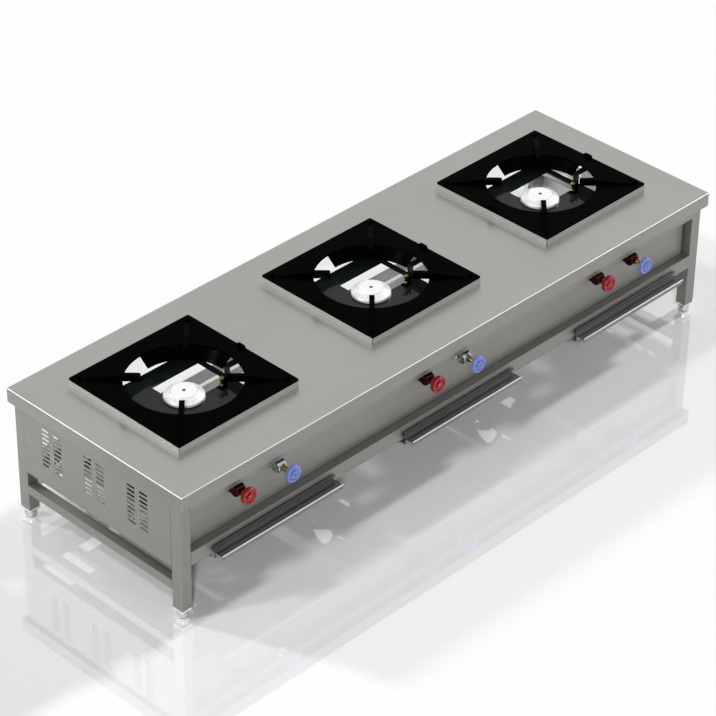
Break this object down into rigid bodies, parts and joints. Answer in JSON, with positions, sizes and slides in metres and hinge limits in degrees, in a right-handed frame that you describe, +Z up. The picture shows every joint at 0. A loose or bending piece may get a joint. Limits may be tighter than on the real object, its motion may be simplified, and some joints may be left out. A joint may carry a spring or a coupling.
{
  "type": "three burner gas cooking range",
  "caption": "Low commercial gas cooking range: a long folded steel top on tube legs, with square pan supports over round burners, valve wheels along the front and pull-out drip trays.",
  "frame": {"origin": "on the floor, under the middle of the top", "axes": "+X along the front to the cook's right, -Y towards the cook, +Z up"},
  "size_m": [1.85, 0.66, 0.397],
  "materials": {
    "satin_stainless": "satin folded stainless sheet and tube",
    "bright_steel": "polished",
    "black_enamel": "glossy black enamel on cast metal",
    "red_plastic": "glossy moulded",
    "blue_plastic": "glossy moulded",
    "brass": "turned",
    "burner_metal": "machined casting",
    "cast_iron": "plain casting",
    "pipe_steel": "galvanised pipe"
  },
  "bodies": {
    "range": {"top_plate": "satin_stainless", "burner_collars": "satin_stainless", "front_left_leg": "satin_stainless", "front_right_leg": "satin_stainless", "rear_left_leg": "satin_stainless", "rear_right_leg": "satin_stainless", "leg_inserts": "satin_stainless", "front_top_rail": "satin_stainless", "rear_top_rail": "satin_stainless", "side_top_rails": "satin_stainless", "front_lower_rail": "satin_stainless", "rear_lower_rail": "satin_stainless", "side_stretchers": "satin_stainless", "rear_stretcher": "satin_stainless", "front_panel": "satin_stainless", "left_panel": "satin_stainless", "right_panel": "satin_stainless", "burner_cross_bars": "satin_stainless", "burner_stands": "satin_stainless", "tray_runners": "satin_stainless", "main_valves": "bright_steel", "pilot_valves": "bright_steel", "lock_nuts": "bright_steel", "pilot_brackets": "black_enamel", "spill_pans": "black_enamel", "gland_nuts": "brass", "main_jets": "brass", "pilot_burners": "brass", "inlet_nipple": "brass", "pilot_tubes": "burner_metal", "burner_bases": "cast_iron", "mixing_tubes": "cast_iron", "gas_manifold": "pipe_steel", "pipe_clip": "pipe_steel"},
    "tray_left": {"drip_tray_left": "satin_stainless"},
    "support_left": {"pan_support_left": "black_enamel"},
    "cap_left": {"burner_cap_left": "burner_metal"},
    "main_knob_left": {"main_wheel_left": "red_plastic", "main_spindle_left": "brass"},
    "pilot_knob_left": {"pilot_wheel_left": "blue_plastic", "pilot_spindle_left": "brass"},
    "tray_middle": {"drip_tray_middle": "satin_stainless"},
    "support_middle": {"pan_support_middle": "black_enamel"},
    "cap_middle": {"burner_cap_middle": "burner_metal"},
    "main_knob_middle": {"main_wheel_middle": "red_plastic", "main_spindle_middle": "brass"},
    "pilot_knob_middle": {"pilot_wheel_middle": "blue_plastic", "pilot_spindle_middle": "brass"},
    "tray_right": {"drip_tray_right": "satin_stainless"},
    "support_right": {"pan_support_right": "black_enamel"},
    "cap_right": {"burner_cap_right": "burner_metal"},
    "main_knob_right": {"main_wheel_right": "red_plastic", "main_spindle_right": "brass"},
    "pilot_knob_right": {"pilot_wheel_right": "blue_plastic", "pilot_spindle_right": "brass"},
    "foot_front_left": {"front_left_foot": "bright_steel"},
    "foot_front_right": {"front_right_foot": "bright_steel"},
    "foot_rear_left": {"rear_left_foot": "bright_steel"},
    "foot_rear_right": {"rear_right_foot": "bright_steel"}
  },
  "joints": [
    {"name": "tray_slide_left", "type": "slide", "parent": "range", "child": "tray_left", "axis": [0, -1, 0], "range_m": [0, 0.4]},
    {"name": "support_lift_left", "type": "slide", "parent": "range", "child": "support_left", "axis": [0, 0, 1], "range_m": [0, 0.15]},
    {"name": "cap_lift_left", "type": "slide", "parent": "range", "child": "cap_left", "axis": [0, 0, 1], "range_m": [0, 0.12]},
    {"name": "main_turn_left", "type": "hinge", "parent": "range", "child": "main_knob_left", "pos_m": [-0.732, -0.306, 0.278], "axis": [0, -1, 0], "range_deg": [0, 720]},
    {"name": "pilot_turn_left", "type": "hinge", "parent": "range", "child": "pilot_knob_left", "pos_m": [-0.602, -0.316, 0.278], "axis": [0, -1, 0], "range_deg": [0, 720]},
    {"name": "tray_slide_middle", "type": "slide", "parent": "range", "child": "tray_middle", "axis": [0, -1, 0], "range_m": [0, 0.4]},
    {"name": "support_lift_middle", "type": "slide", "parent": "range", "child": "support_middle", "axis": [0, 0, 1], "range_m": [0, 0.15]},
    {"name": "cap_lift_middle", "type": "slide", "parent": "range", "child": "cap_middle", "axis": [0, 0, 1], "range_m": [0, 0.12]},
    {"name": "main_turn_middle", "type": "hinge", "parent": "range", "child": "main_knob_middle", "pos_m": [-0.107, -0.306, 0.278], "axis": [0, -1, 0], "range_deg": [0, 720]},
    {"name": "pilot_turn_middle", "type": "hinge", "parent": "range", "child": "pilot_knob_middle", "pos_m": [0.023, -0.316, 0.278], "axis": [0, -1, 0], "range_deg": [0, 720]},
    {"name": "tray_slide_right", "type": "slide", "parent": "range", "child": "tray_right", "axis": [0, -1, 0], "range_m": [0, 0.4]},
    {"name": "support_lift_right", "type": "slide", "parent": "range", "child": "support_right", "axis": [0, 0, 1], "range_m": [0, 0.15]},
    {"name": "cap_lift_right", "type": "slide", "parent": "range", "child": "cap_right", "axis": [0, 0, 1], "range_m": [0, 0.12]},
    {"name": "main_turn_right", "type": "hinge", "parent": "range", "child": "main_knob_right", "pos_m": [0.518, -0.306, 0.278], "axis": [0, -1, 0], "range_deg": [0, 720]},
    {"name": "pilot_turn_right", "type": "hinge", "parent": "range", "child": "pilot_knob_right", "pos_m": [0.648, -0.316, 0.278], "axis": [0, -1, 0], "range_deg": [0, 720]},
    {"name": "foot_screw_front_left", "type": "slide", "parent": "range", "child": "foot_front_left", "axis": [0, 0, -1], "range_m": [0, 0.015]},
    {"name": "foot_screw_front_right", "type": "slide", "parent": "range", "child": "foot_front_right", "axis": [0, 0, -1], "range_m": [0, 0.015]},
    {"name": "foot_screw_rear_left", "type": "slide", "parent": "range", "child": "foot_rear_left", "axis": [0, 0, -1], "range_m": [0, 0.015]},
    {"name": "foot_screw_rear_right", "type": "slide", "parent": "range", "child": "foot_rear_right", "axis": [0, 0, -1], "range_m": [0, 0.015]}
  ]
}
